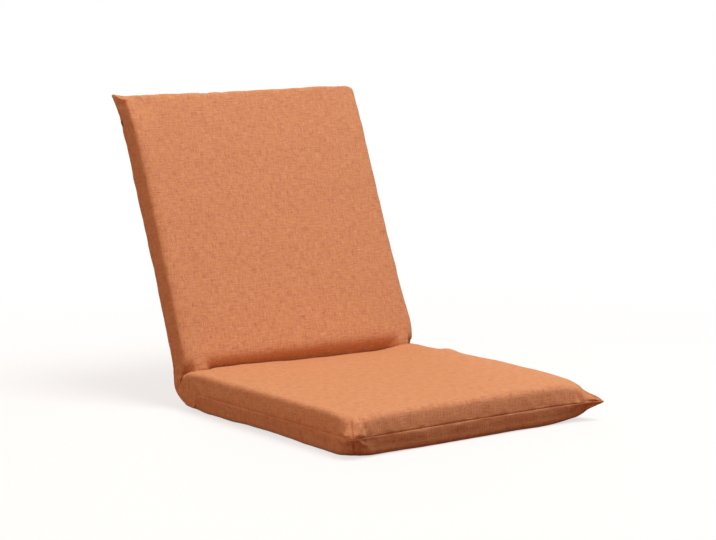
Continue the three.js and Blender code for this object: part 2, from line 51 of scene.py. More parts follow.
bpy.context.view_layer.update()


# Frame tubes. Round steel tube, bent to a U for each pad and closed by two cross tubes. It is
# powder-coated black against rust and lies inside the foam.
def from_hex(code):
    """A colour's linear values, from its sRGB hex code."""
    linear = []
    for i in (1, 3, 5):
        share = int(code[i:i + 2], 16) / 255
        linear.append(share / 12.92 if share <= 0.04045 else ((share + 0.055) / 1.055) ** 2.4)
    return (*linear, 1.0)


def per_metre(size):
    """The scale of a texture whose pattern is this many millimetres wide."""
    return 1000 / size


def add(tree, kind, inputs=None, outputs=None, **settings):
    """A node with its settings, the values or links of its inputs, and the sockets its outputs feed."""
    made = tree.nodes.new(kind)
    for key, value in settings.items():
        setattr(made, key, value)
    for key, value in (inputs or {}).items():
        if isinstance(value, bpy.types.NodeSocket):
            tree.links.new(value, made.inputs[key])
        else:
            made.inputs[key].default_value = value
    for key, socket in (outputs or {}).items():
        tree.links.new(made.outputs[key], socket)
    return made


def new_finish(name, sockets):
    """A material, with its node tree, its shader and the node that gives the place on the piece."""
    material = bpy.data.materials.new(name)
    material.use_nodes = True
    tree = material.node_tree
    shader = tree.nodes["Principled BSDF"]
    for key, value in sockets.items():
        shader.inputs[key].default_value = value
    return material, tree, shader, add(tree, "ShaderNodeTexCoord")


def dress(names, material):
    """Gives the frame's own solids their finish."""
    for name in names:
        nodes[name].data.materials.clear()
        nodes[name].data.materials.append(material)


# The coat is a thin fused plastic with a fine orange peel, about 1.5 mm from crest to crest.
peel_width, peel_depth = 1.54, 0.0002
powder_coat, tree, shader, place = new_finish("powder-coated steel", {"Roughness": 0.45})
peel = add(tree, "ShaderNodeTexNoise",
           {"Vector": place.outputs["Object"], "Scale": per_metre(peel_width), "Detail": 2.0})
add(tree, "ShaderNodeMix", {0: peel.outputs["Fac"], 6: from_hex("#1d1f21"), 7: from_hex("#2c2e31")},
    {2: shader.inputs["Base Color"]}, data_type="RGBA")
add(tree, "ShaderNodeBump", {"Height": peel.outputs["Fac"], "Strength": 0.3, "Distance": peel_depth},
    {"Normal": shader.inputs["Normal"]})
for pad in ("seat", "back"):
    dress([pad + "_frame_tube", pad + "_cross_tube_1", pad + "_cross_tube_2"], powder_coat)


# Ratchet hinges. Stamped plates, a sprung pawl and its pin; the arms are riveted into the tubes.
# The plates are zinc plated after stamping, the rivets and springs are bright drawn steel.
# Zinc dulls to a soft grey with faint crystals a few millimetres wide.
crystal_width = 2.5
zinc_plate, tree, shader, place = new_finish("zinc-plated steel", {"Metallic": 1.0})
crystals = add(tree, "ShaderNodeTexVoronoi",
               {"Vector": place.outputs["Object"], "Scale": per_metre(crystal_width)})
add(tree, "ShaderNodeMix", {0: crystals.outputs["Color"], 6: from_hex("#9fa2a6"), 7: from_hex("#c4c6c9")},
    {2: shader.inputs["Base Color"]}, data_type="RGBA")
add(tree, "ShaderNodeMapRange", {"Value": crystals.outputs["Distance"], "To Min": 0.32, "To Max": 0.48},
    {"Result": shader.inputs["Roughness"]})

# Drawn wire and set rivets keep fine lines from the tool, under half a millimetre apart.
line_apart, line_run, line_depth = 0.4, 8.3, 0.0001
bright_steel, tree, shader, place = new_finish("drawn steel", {"Metallic": 1.0, "Roughness": 0.3})
line_scale = (per_metre(line_apart), per_metre(line_run), per_metre(line_run))
stretch = add(tree, "ShaderNodeMapping", {"Vector": place.outputs["Object"], "Scale": line_scale})
lines = add(tree, "ShaderNodeTexNoise", {"Vector": stretch.outputs["Vector"], "Scale": 1.0, "Detail": 2.0})
add(tree, "ShaderNodeMix", {0: lines.outputs["Fac"], 6: from_hex("#85888d"), 7: from_hex("#a3a6aa")},
    {2: shader.inputs["Base Color"]}, data_type="RGBA")
add(tree, "ShaderNodeBump", {"Height": lines.outputs["Fac"], "Strength": 0.2, "Distance": line_depth},
    {"Normal": shader.inputs["Normal"]})


def placed(name, data):
    """A new object in the scene for this mesh, lamp or camera."""
    made = bpy.data.objects.new(name, data)
    bpy.context.scene.collection.objects.link(made)
    return made


def remade(node, name, material, shaping):
    """The solid of a node as a piece of its own, once the modifiers that shape it have been applied."""
    mesh = nodes[node].data.copy()
    mesh.materials.clear()
    mesh.materials.append(material)
    made = placed(name, mesh)
    for kind, settings in shaping:
        step = made.modifiers.new(kind.lower(), kind)
        for key, value in settings.items():
            setattr(step, key, value)
    view = bpy.context.evaluated_depsgraph_get()
    shaped = bpy.data.meshes.new_from_object(made.evaluated_get(view))
    made.modifiers.clear()
    made.data = shaped
    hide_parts(node)
    return made


# Each pawl's leaf spring is fixed at its root to the cheeks and leans with its tip on the pawl.
rounded_edges = [("BEVEL", {"width": 0.0006, "segments": 2})]
for side in ("right", "left"):
    hinge = side + "_hinge_"
    plates = ["gear_plate", "cheek_outer", "cheek_inner", "pawl", "spacer"]
    pins = ["pivot_rivet", "pawl_pin", "seat_rivet_1", "seat_rivet_2", "back_rivet_1", "back_rivet_2"]
    dress([hinge + part for part in plates], zinc_plate)
    dress([hinge + part for part in pins], bright_steel)
    leaf = remade(hinge + "pawl_spring", side + "_leaf_spring", bright_steel, rounded_edges)
    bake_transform(leaf)


# Elastic webbing. Three loops of woven elastic round each frame carry the foam across its opening.
# Rubber cords run along the band under a rib of black polyester, about 2 mm apart.
def bands_per_metre(apart):
    """The scale of a wave texture, which turns 20 radians in a unit, for bands this far apart in mm."""
    return per_metre(apart) * math.pi / 10


cord_apart, pick_apart, rib_height = 2.0, 1.21, 0.0006
elastic_rib, tree, shader, place = new_finish("woven elastic", {"Roughness": 0.9, "Sheen Weight": 0.2})
cords = add(tree, "ShaderNodeTexWave",
            {"Vector": place.outputs["Object"], "Scale": bands_per_metre(cord_apart)}, bands_direction="Y")
picks = add(tree, "ShaderNodeTexWave",
            {"Vector": place.outputs["Object"], "Scale": bands_per_metre(pick_apart)}, bands_direction="X")
ribs = add(tree, "ShaderNodeMath", {0: cords.outputs["Fac"], 1: picks.outputs["Fac"]}, operation="MULTIPLY")
add(tree, "ShaderNodeMix", {0: ribs.outputs["Value"], 6: from_hex("#222224"), 7: from_hex("#454548")},
    {2: shader.inputs["Base Color"]}, data_type="RGBA")
add(tree, "ShaderNodeBump", {"Height": ribs.outputs["Value"], "Strength": 0.6, "Distance": rib_height},
    {"Normal": shader.inputs["Normal"]})
for pad in ("seat", "back"):
    for number in ("1", "2", "3"):
        node = pad + "_elastic_band_" + number
        band = remade(node, pad + "_webbing_" + number, elastic_rib, rounded_edges)
        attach(band, pad)


# Foam. Blocks of cut polyurethane foam above and below each frame, and one that bends at the hinge,
# notched under the crease. They lie close under the cover, so the sizes in millimetres that follow
# are the cover's: its pads' outer sizes, and the heights of its faces and its seam from the hinge.
width, seat_length, back_length = 487.0, 462.5, 506.5
seat_face, seat_seam, seat_base = 18.3, -15.4, -47.0
back_face, back_seam, back_rear = 11.4, -24.0, -34.0
bend_from, bend_steps = 60.0, 60

# The back leans from the flat by the angle through which the hinge can still open.
recline = joints["back_recline"]
hinge_at = np.array(recline["pos_m"][1:]) * 1000
lean = math.radians(recline["range_deg"][1])
up_back = np.array([math.cos(lean), math.sin(lean)])
off_back = np.array([-math.sin(lean), math.cos(lean)])


def on_seat(along, up):
    """A point in Y and Z, from its distance along the seat and above the hinge."""
    return np.array([-along, up])


def on_back(along, out):
    """A point in Y and Z, from its distance up the back and in front of the hinge."""
    return up_back * along + off_back * out


def down_back(*places):
    """The points for a list of places on the back."""
    return [on_back(along, out) for along, out in places]


def eased(share):
    """Zero to one, with a soft start and end."""
    share = np.clip(share, 0, 1)
    return share * share * (3 - 2 * share)


def bell(at, centre, spread):
    """One at the centre, falling off softly to both sides."""
    return np.exp(-((at - centre) / spread) ** 2)


def smooth_line(points, count):
    """Evenly spaced points on a smooth curve through the given ones."""
    samples = 13
    points = np.array(points)
    rows = [points[0]]
    for i in range(len(points) - 1):
        before = points[i - 1] if i else points[i]
        after = points[i + 2] if i + 2 < len(points) else points[i + 1]
        start, end = points[i], points[i + 1]
        for t in np.linspace(0, 1, samples)[1:]:
            spread = 2 * start + (end - before) * t + (2 * before - 5 * start + 4 * end - after) * t * t
            rows.append((spread + (3 * start - before - 3 * end + after) * t ** 3) / 2)
    rows = np.array(rows)
    run = np.concatenate([[0], np.cumsum(np.linalg.norm(np.diff(rows, axis=0), axis=1))])
    at = np.linspace(0, run[-1], count)
    return np.stack([np.interp(at, run, rows[:, 0]), np.interp(at, run, rows[:, 1])], axis=1)


def through_bend(halves):
    """The points of a line through the bend, as many on either side of its middle."""
    first, second = (smooth_line(half, bend_steps // 2 + 1) for half in halves)
    return np.concatenate([first, second[1:]])


# Lines in Y and Z from the hinge's axis, each in two halves that meet in the middle of the bend. The
# front one runs down the back's face, rolls into the crease and comes up to the seat's face.
crease_middle, bend_middle = [21.0, 4.0], [32.8, -26.0]
face_line = (
    down_back((bend_from, back_face), (48, back_face), (42, 11.0), (37, 9.9), (33, 8.2), (29.5, 5.9),
              (26.5, 3.0), (24, -0.2), (21.8, -3.8), (19.2, -7.8), (16.0, -11.2)) + [crease_middle],
    [crease_middle, [17.0, 9.0], [12.8, 13.0], [8.5, 15.7], [4.0, 17.3], [-1.0, 18.0], [-5.0, seat_face],
     [-10.0, seat_face], [-16.0, seat_face], [-30.0, seat_face], on_seat(bend_from, seat_face)],
)
rear_line = (
    down_back((bend_from, back_rear), (48, back_rear), (36, -33.8), (26, -36.5), (12, -42.4))
    + [[43.2, -11.0], [39.5, -18.6], bend_middle],
    [bend_middle, [20.0, -35.0], [8.5, -39.4], [-3.1, -41.4], [-22.7, -44.0], [-42.0, -46.3],
     on_seat(bend_from, seat_base)],
)


# Between the hinges the seat's face hangs by the crease: its depth at each x, how far it reaches over
# the seat, and how it ends in the crease.
sag_x = [-135, -75, 0, 100, 145, 165, 185, 205, 230]
sag_depth = [0, 2, 5, 6.7, 6.9, 6.2, 4.2, 1.4, 0]
sag_from, sag_reach, sag_end, sag_end_run = 8, 55, 19, 11


def sag(x, y):
    """How far the seat's face hangs down at a point, y being from the hinge."""
    over_seat = bell(np.maximum(-y - sag_from, 0), 0, sag_reach)
    return np.interp(x, sag_x, sag_depth) * over_seat * eased((sag_end - y) / sag_end_run)


# The cut faces show open cells a millimetre or two across.
cell_width, cell_depth = 1.82, 0.0008
cut_foam, tree, shader, place = new_finish("cut polyurethane foam",
                                           {"Roughness": 1.0, "Subsurface Weight": 0.1})
cells = add(tree, "ShaderNodeTexVoronoi",
            {"Vector": place.outputs["Object"], "Scale": per_metre(cell_width)})
add(tree, "ShaderNodeMix", {0: cells.outputs["Distance"], 6: from_hex("#d8cda9"), 7: from_hex("#efe7cf")},
    {2: shader.inputs["Base Color"]}, data_type="RGBA")
add(tree, "ShaderNodeBump", {"Height": cells.outputs["Distance"], "Strength": 0.5, "Distance": cell_depth},
    {"Normal": shader.inputs["Normal"]})

# The flat blocks stay under the cover's face by the foam gap, with their corners trimmed towards the
# ears. By the hinge the upper and front ones are thinned at the sides and narrower, over the plates.
foam_gap, foam_give = 3.5, 0.9
ear_trim, ear_trim_reach = 0.75, 62.0
thinned, thinned_from, thinned_run, thinned_x, thinned_width = 9.0, 35, 55, 165, 45
narrowed = 0.06
soft_cut = [("REMESH", {"voxel_size": 0.006}), ("SMOOTH", {"factor": 0.5, "iterations": 3})]
pad_shapes = {
    "seat": (np.array([[-1.0, 0.0], [0.0, 1.0]]), seat_length, seat_seam),
    "back": (np.stack([up_back, off_back], axis=1), back_length, back_seam),
}
for node in ("seat_foam_top", "seat_foam_base", "back_foam_front", "back_foam_rear"):
    block = remade(node, node.replace("foam", "block"), cut_foam, soft_cut)
    pad = node[:4]
    axes, pad_end, seam_height = pad_shapes[pad]
    spots = np.array([v.co for v in block.data.vertices]) * 1000
    laid = (spots[:, 1:] - hinge_at) @ axes
    to_ear = np.hypot(width / 2 - np.abs(spots[:, 0]), pad_end - laid[:, 0])
    laid[:, 1] = seam_height + (laid[:, 1] - seam_height) * (1 - ear_trim * bell(to_ear, 0, ear_trim_reach))
    if pad == "back":
        bevel = (np.array(face_line[0]) @ axes)[::-1]
        laid[:, 1] = np.minimum(laid[:, 1], np.interp(laid[:, 0], bevel[:, 0], bevel[:, 1]) - foam_gap)
    if node == "seat_foam_top":
        laid[:, 1] = np.minimum(laid[:, 1], seat_face - foam_gap - sag(spots[:, 0], -laid[:, 0]))
    if node in ("seat_foam_top", "back_foam_front"):
        by_hinge = 1 - eased((laid[:, 0] - thinned_from) / thinned_run)
        laid[:, 1] -= thinned * by_hinge * eased((np.abs(spots[:, 0]) - thinned_x) / thinned_width)
        spots[:, 0] *= 1 - narrowed * by_hinge
    spots[:, 1:] = laid @ axes.T + hinge_at
    block.data.vertices.foreach_set("co", (spots / 1000).ravel())
    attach(block, pad)


def meshed(name, spots, faces, material):
    """A mesh of one material, from points in millimetres."""
    mesh = bpy.data.meshes.new(name)
    mesh.from_pydata((np.array(spots) / 1000).tolist(), [], faces)
    mesh.materials.append(material)
    return mesh


# The block that bends fills the space between the two ratchets, set in from the cover's two lines.
set_in, top_from = 8.0, -5
stations = (-195, -100, 0, 100, 195)
section = np.concatenate([through_bend(face_line), through_bend(rear_line)[::-1]])
heading = np.roll(section, -1, axis=0) - np.roll(section, 1, axis=0)
inward = np.stack([-heading[:, 1], heading[:, 0]], axis=1)
section = section + inward / np.linalg.norm(inward, axis=1, keepdims=True) * set_in + hinge_at
spots = []
for x in stations:
    for y, z in section:
        on_top = z > hinge_at[1] + top_from
        spots.append((x, y, z - sag(x, y - hinge_at[0]) * on_top))
count = len(section)
faces = []
for ring in range(len(stations) - 1):
    for i in range(count):
        here, there = ring * count, (ring + 1) * count
        beside = (i + 1) % count
        faces.append((here + i, here + beside, there + beside, there + i))
for first in (0, (len(stations) - 1) * count):
    for i in range(bend_steps):
        faces.append((first + i, first + i + 1, first + count - 2 - i, first + count - 1 - i))
bend_block = placed("bend_block", meshed("bend_block", spots, faces, cut_foam))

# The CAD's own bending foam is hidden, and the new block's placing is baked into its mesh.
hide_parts("bend_foam")
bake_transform(bend_block)


# The cover. Upholstery linen in a terracotta red, cut as one long front panel, from the back's top
# edge over the crease to the seat's front edge, and one rear panel behind and below it. They are sewn
# together inside out all round, so the seam is a drawn-in line that ends in four ears.
# Each panel's edges are rolled over: how far the roll reaches in from the side, and how far down.
Panel = namedtuple(
    "Panel", "name is_front line seat_edge back_edge seat_roll seat_drop back_roll back_drop seed")
front_panel = Panel("cover_front_panel", True, face_line, seat_face, back_face,
                    seat_roll=10.5, seat_drop=10.5, back_roll=14.5, back_drop=6.0, seed=3)
rear_panel = Panel("cover_rear_panel", False, rear_line, seat_base, back_rear,
                   seat_roll=10.5, seat_drop=14.0, back_roll=12.5, back_drop=5.0, seed=11)

# Over the hinge plates the front panel is held up and takes a shallower line through the crease. The
# seam's line drops to the base of the bend and climbs back to half the seat's height.
plate_middle, seam_middle = [-0.9, 16.8], [28.4, -24.6]
plate_line = (
    down_back((bend_from, back_face), (52, 11.3), (45, 11.1), (38, 10.7), (32, 10.2), (27, 9.5), (23, 8.6),
              (20, 7.9), (17.8, 7.2)) + [plate_middle],
    [plate_middle, [-3.4, 17.5], [-6.2, 18.0], [-9.5, 18.2], [-13.5, seat_face], [-18.0, seat_face],
     [-24.0, seat_face], [-30.0, seat_face], [-38.0, seat_face], on_seat(bend_from, seat_face)],
)
seam_line = (
    down_back((bend_from, back_seam), (50, -25.2), (38, -28.2), (27, -32), (12, -37.4))
    + [[37.6, -12.6], [33.8, -19.6], seam_middle],
    [seam_middle, [17.0, -30.6], [6.0, -34.6], [-6.0, -37.6], [-18.0, -39.6], [-23.0, -39.0],
     [-25.5, -30.0], [-27.5, -21.0], [-30.5, -16.4], [-38.0, seat_seam], on_seat(bend_from, seat_seam)],
)

# The mesh has a row and a column every pitch, and finer ones over the last run, where the cloth
# puckers. A wall's steps go from the face's edge, 0, to the seam, 1.
pitch, fine_pitch, fine_run = 5.5, 2.4, 42.0
wall_steps = (0, 0.1, 0.2, 0.31, 0.42, 0.53, 0.64, 0.74, 0.82, 0.89, 0.94, 0.97, 0.985, 1)
Row = namedtuple("Row", "m edge seam share along wall_shift plate_shift", defaults=(None, None))


def spaced(end, start=0.0):
    """Places from start to end, closer together over the last run."""
    turn = end - fine_run
    coarse = np.linspace(start, turn, int((turn - start) / pitch) + 1)
    return np.concatenate([coarse, np.linspace(turn, end, int(fine_run / fine_pitch) + 1)[1:]])


def panel_rows(panel):
    """The panel's rows, from the back's top seam to the seat's front seam.

    A row's m is its step down an end wall, share its place in the bend, from 0 on the back to 1 on the
    seat, and along its distance from the hinge. In the bend, wall_shift goes from the seam's line to a
    smoother one and plate_shift from the edge's line to the one over the plates."""
    back_run = spaced(back_length - panel.back_roll, bend_from)[::-1]
    seat_run = spaced(seat_length - panel.seat_roll, bend_from)
    edge_bend, seam_bend = through_bend(panel.line), through_bend(seam_line)
    plate_bend = through_bend(plate_line) if panel.is_front else edge_bend
    blur_rows, blur_width = 10, 5.5
    blur = bell(np.arange(-blur_rows, blur_rows + 1), 0, blur_width)
    padded = np.pad(seam_bend, ((blur_rows, blur_rows), (0, 0)), mode="edge")
    smoothed = [np.convolve(padded[:, k], blur / blur.sum(), mode="valid") for k in (0, 1)]
    wall_bend = np.stack(smoothed, axis=1)
    top, front = back_run[0], seat_run[-1]
    rows = []
    for m in wall_steps[:0:-1]:
        rows.append(Row(m, on_back(top, panel.back_edge), on_back(top, back_seam), 0.0, top))
    for along in back_run[:-1]:
        rows.append(Row(0, on_back(along, panel.back_edge), on_back(along, back_seam), 0.0, along))
    for i in range(bend_steps + 1):
        share = i / bend_steps
        rows.append(Row(0, edge_bend[i], seam_bend[i], share, bend_from * abs(1 - 2 * share),
                        wall_bend[i] - seam_bend[i], plate_bend[i] - edge_bend[i]))
    for along in seat_run[1:]:
        rows.append(Row(0, on_seat(along, panel.seat_edge), on_seat(along, seat_seam), 1.0, along))
    for m in wall_steps[1:]:
        rows.append(Row(m, on_seat(front, panel.seat_edge), on_seat(front, seat_seam), 1.0, front))
    return rows


def panel_columns(panel):
    """The columns from side to side: each one's step down a side wall, and its share of the half width."""
    half_face = width / 2 - panel.seat_roll
    face = spaced(half_face) / half_face
    face = np.concatenate([-face[:0:-1], face])
    columns = [(m, -1.0) for m in wall_steps[:0:-1]]
    columns += [(0.0, x) for x in face]
    columns += [(m, 1.0) for m in wall_steps[1:]]
    return np.array([m for m, _ in columns]), np.array([x for _, x in columns])


# The seam is tucked in behind the wall and lies in a narrow groove. The seat's walls bulge by a hair and
# lean in away from the seam.
tuck, groove, groove_width, wall_bulge = 0.7, 1.5, 1.1, 0.4
front_lean, rear_lean = 3.0, 3.5


def wall_profile(m, wall, roll, drop, lean_in):
    """The turn of the rolled edge at m, and how far out and down the cloth is there."""
    quarter = math.pi / 2 * math.sqrt((roll * roll + drop * drop) / 2)
    rolled = quarter / (quarter + wall - drop)
    turn = np.clip(m / rolled, 0, 1) * math.pi / 2
    q = np.clip((m - rolled) / (1 - rolled), 0, 1)
    drawn = tuck * q + groove * np.exp(-(1 - q) * (wall - drop) / groove_width)
    out = (roll - lean_in * (1 - q)) * np.sin(turn) + wall_bulge * np.sin(math.pi * q) - drawn
    fall = drop * (1 - np.cos(turn)) + (wall - drop) * q
    return turn, out, fall


# Each corner's ear, near and far: its length, the face's slope down to it, the rounding that the face
# has beyond the seam's, and the seam's own. The rear panel's faces are rounded alike.
corner_shapes = {
    "seat": ((5.0, 3.0, 26.0, 17.0), (21.0, 9.0, 40.0, 3.0)),
    "back": ((15.0, 7.0, 30.0, 3.0), (9.0, 5.5, 11.0, 3.0)),
}
rear_rounding = 26.0
ear_reach, slope_reach, ear_power = 21.0, 48.0, 2.4


def round_corner(x, reach, border, end, radius):
    """Brings a square corner onto a round one: the new x, and the shift along the pad."""
    a = np.abs(x) - (border - radius)
    b = reach - (end - radius)
    inside = (a > 0) & (b > 0)
    squeeze = np.where(inside, np.maximum(a, b) / np.maximum(np.hypot(a, b), 1e-9), 1.0)
    x = np.sign(x) * np.where(inside, border - radius + a * squeeze, np.abs(x))
    return x, np.where(inside, b * (squeeze - 1), 0.0)


# The back's top edge climbs to the far side, dips at the zip's slider and its pull's tip, and draws
# the zip in. The zip runs from its right end, on the near side, to its left end, and its tapes lie
# low on the wall.
far_rise, rise_from, rise_run, rise_lowest, rise_depth = 16.5, -130, 370, -0.12, 0.5
climb_from, climb_run = 0.7, 0.3
slider_dip, slider_x, slider_reach = 1.8, -88, 9
pull_dip, pull_x, pull_reach = 2.0, -50, 8
dips_from, dips_run = 488, 12
zip_right, zip_left, zip_inset = -104.0, 206.0, 1.9
zip_margin, zip_soft, tapes_from, tapes_soft, rear_from, rear_soft = 8, 7, 0.48, 0.08, 0.8, 0.2


def along_zip(x, m):
    """One where the zip's tapes lie on the top edge's wall, and zero elsewhere."""
    from_right, from_left = x - zip_right + zip_margin, zip_left + zip_margin - x
    return eased(from_right / zip_soft) * eased(from_left / zip_soft) * eased((m - tapes_from) / tapes_soft)


def top_edge(panel, row, x, reach, m):
    """How far the back's top edge stands out from a straight one."""
    up = far_rise * np.clip((x - rise_from) / rise_run, rise_lowest, 1) * (1 - eased(m / rise_depth))
    up = up * np.clip((reach / back_length - climb_from) / climb_run, 0, 1)
    if panel.is_front:
        dips = slider_dip * bell(x, slider_x, slider_reach) + pull_dip * bell(x, pull_x, pull_reach)
        up = up - dips * np.clip((reach - dips_from) / dips_run, 0, 1)
    if row.m > 0:
        by_zip = along_zip(x, m if panel.is_front else 1.0)
        if not panel.is_front:
            by_zip = by_zip * eased((m - rear_from) / rear_soft)
        up = up - zip_inset * by_zip
    return up


# The seat's far side stands up over the hinge, its near side's bottom edge is lifted, and the back's
# face has a low rim along the near side. Each has a height, and places and widths along and across.
hinge_hump, hinge_hump_at, hinge_hump_run = 5.0, 116, 24
side_hump, side_hump_at, side_hump_run, side_hump_x, side_hump_width = 3.0, 235, 90, 228, 34
under_lift, under_at, under_run, under_x, under_width = 3.5, 190, 100, -240, 28
near_rim, near_rim_x, near_rim_width = 3.0, -230, 22
rim_from, rim_from_run, rim_to, rim_to_run = 60, 90, 430, 60


def stand_off(panel, row, x, reach, m):
    """How far the cloth stands off the plain pad by the sides."""
    off = np.zeros_like(x)
    if panel.is_front and row.share > 0.5:
        off = hinge_hump * bell(reach, hinge_hump_at, hinge_hump_run)
        off = off + side_hump * bell(reach, side_hump_at, side_hump_run)
        off = off * bell(x, side_hump_x, side_hump_width)
    elif row.share > 0.5:
        off = -under_lift * bell(reach, under_at, under_run) * bell(x, under_x, under_width)
    elif panel.is_front and row.share == 0:
        off = near_rim * bell(x, near_rim_x, near_rim_width)
        off = off * eased((reach - rim_from) / rim_from_run) * (1 - eased((reach - rim_to) / rim_to_run))
    return off * (1 - m)


# The pads' sides are drawn in at half length, and so is the seat's front edge at half width. The faces
# are crowned, the rear ones by a share of the front ones, and a rolled edge takes a share of the wall
# at most. The back's front face has a wider roll at its sides, and the seat's front one a softer edge.
side_bow, front_bow, crown_height, rear_crown, most_drop = 2.0, 3.0, 4.0, 0.5, 0.6
wider_roll, wider_run = 3.0, 90
softer_edge, softer_from = 7.0, 300
# By the bend the whole cover lies off centre, towards the far side, and most so above the far hinge.
off_centre, off_centre_run = 2.2, 150
far_push, far_push_at, far_push_run, far_push_x = 4.0, 70, 60, 230
# The cloth over each plate, from its inner edge to its outer one, and the slack of the bent walls.
plate_from, plate_soft, plate_to, plate_end_soft, plate_depth = 182, 30, 227, 6, 0.2
slack, slack_to = 0.8, 0.93


def lay_row(panel, row, end, col_m, col_x):
    """One row: each point's x, its Y and Z from the hinge's axis, and its step down the wall."""
    on_back_pad = row.share <= 0.5
    if on_back_pad:
        pad, pad_length, heading = "back", back_length, up_back
    else:
        pad, pad_length, heading = "seat", seat_length, on_seat(1, 0)
    mix = eased(row.share)
    part = np.clip(row.along / pad_length, 0, 1)
    roll = panel.back_roll + (panel.seat_roll - panel.back_roll) * mix
    wall = np.linalg.norm(row.seam - row.edge)
    down = (row.seam - row.edge) / wall
    drop = min(panel.back_drop + (panel.seat_drop - panel.back_drop) * mix, wall * most_drop)
    half = width / 2 - side_bow * 4 * part * (1 - part)
    m = np.maximum(row.m, col_m)
    sideways, endways = col_m / np.maximum(m, 1e-9), row.m / np.maximum(m, 1e-9)
    lean_in = (front_lean if panel.is_front else rear_lean) * mix
    turn, out, fall = wall_profile(m, wall, roll, drop, lean_in)

    wider = wider_roll * eased(row.along / wider_run) * (1 - row.m) * (on_back_pad and panel.is_front)
    x = np.where(col_m > 0, np.sign(col_x), col_x) * (half - roll - wider)
    x = x + np.sign(col_x) * (out + wider * np.sin(turn)) * sideways
    ds = out * endways
    if panel.is_front and row.share == 1:
        softer = softer_edge * (1 - col_m) * np.clip((row.along - softer_from) / (end - softer_from), 0, 1)
        ds = ds - softer * (1 - np.sin(turn) * endways)

    near, far = corner_shapes[pad]
    ear, slope, rounding, tight = (np.where(x < 0, *pair) for pair in zip(near, far))
    radius = tight + (rounding if panel.is_front else rear_rounding) * (1 - m)
    border = half - roll + out - wider * (1 - np.sin(turn))
    x, shift = round_corner(x, row.along + ds, border, end + out, radius)
    ds = ds + shift
    reach = row.along + ds
    from_corner = np.hypot(width / 2 - np.abs(x), pad_length - reach)
    pull = ear * m ** ear_power * np.exp(-from_corner / ear_reach)
    x = x + np.sign(x) * pull
    ds = ds + pull
    fall = fall + slope * (1 - m) * bell(from_corner, 0, slope_reach)
    if row.share == 0:
        ds = ds + top_edge(panel, row, x, reach, m)
    if row.share == 1:
        bowed = np.clip(1 - (x / half) ** 2, 0, 1) * np.clip(2 * reach / pad_length - 1, 0, 1)
        ds = ds - front_bow * bowed

    crown = crown_height * (1 - np.abs(x / (width / 2)).clip(0, 1) ** 4) * (1 - abs(2 * part - 1) ** 4)
    crown = crown * np.cos(turn) * (1 if panel.is_front else (1 - mix) * rear_crown)
    plane = row.edge + np.outer(fall - crown, down) + np.outer(ds, heading)
    if row.wall_shift is not None and panel.is_front:
        loose = slack * np.sin(np.clip(m / slack_to, 0, 1) ** 1.5 * math.pi)
        over_plate = eased((np.abs(x) - plate_from) / plate_soft) * (1 - np.clip(m / plate_depth, 0, 1))
        over_plate = over_plate * (1 - eased((np.abs(x) - plate_to) / plate_end_soft))
        plane = plane + np.outer(loose, row.wall_shift) + np.outer(over_plate, row.plate_shift)
    if on_back_pad:
        x = x + off_centre * (1 - part)
        x = x + far_push * bell(row.along, far_push_at, far_push_run) * np.clip(x / far_push_x, 0, 1)
    else:
        x = x + off_centre * np.clip(1 - row.along / off_centre_run, 0, 1)
    plane = plane - np.outer(stand_off(panel, row, x, reach, m), down)
    if panel.is_front and row.share >= 0.5:
        plane[:, 1] -= sag(x, row.edge[0])
    return x, plane, m


def lay_panel(panel):
    """The panel's points, their steps down the wall, and the cloth's lengths across and along to them."""
    rows = panel_rows(panel)
    col_m, col_x = panel_columns(panel)
    points = np.zeros((len(rows), len(col_m), 3))
    depths = np.zeros((len(rows), len(col_m)))
    for i, row in enumerate(rows):
        end = rows[0].along if row.share <= 0.5 else rows[-1].along
        points[i, :, 0], plane, depths[i] = lay_row(panel, row, end, col_m, col_x)
        points[i, :, 1:] = plane + hinge_at
    lengths = np.zeros((len(rows), len(col_m), 2))
    across = np.linalg.norm(np.diff(points[len(rows) // 3], axis=0), axis=1)
    along = np.linalg.norm(np.diff(points[:, len(col_m) // 2], axis=0), axis=1)
    lengths[:, :, 0] = np.concatenate([[0], np.cumsum(across)])[None, :]
    lengths[:, :, 1] = np.concatenate([[0], np.cumsum(along)])[:, None]
    return points, depths, lengths, rows


def facing(points):
    """The cloth's direction at each point, from its neighbours."""
    across = np.gradient(points, axis=1)
    along = np.gradient(points, axis=0)
    normal = np.cross(across, along)
    return normal / np.maximum(np.linalg.norm(normal, axis=2, keepdims=True), 1e-9)


# Swells in the cloth, as height, longest and shortest wave and how many waves: on the faces, in the
# puckers close to the seam and farther up the wall, and by the bend. Puckers have a place and a width,
# run on down the wall for longer than they are wide, and follow the side edges within the side strip.
face_swell, seam_swell = (0.5, 190, 60, 7), (0.5, 34, 11, 6)
wall_swell, bend_swell = (0.4, 70, 24, 5), (0.8, 40, 13, 6)
seam_puckers, wall_puckers, wall_height = (7, 8), (20, 16), 40.0
seam_run_on, wall_run_on, side_strip = 0.15, 0.4, 30
bend_spread, bend_seat, bend_side, bend_side_run = 26, 100, 150, 80


def waves(u, v, swell, seed):
    """Slow uneven swells: sine waves in seeded directions, from the longest to the shortest."""
    high, longest, shortest, count = swell
    chance = np.random.default_rng(seed)
    total = np.zeros_like(u)
    for length in np.geomspace(longest, shortest, count):
        turn, shift = chance.uniform(0, 2 * math.pi, 2)
        total += np.sin((u * math.cos(turn) + v * math.sin(turn)) * 2 * math.pi / length + shift)
    return high * total / math.sqrt(count)


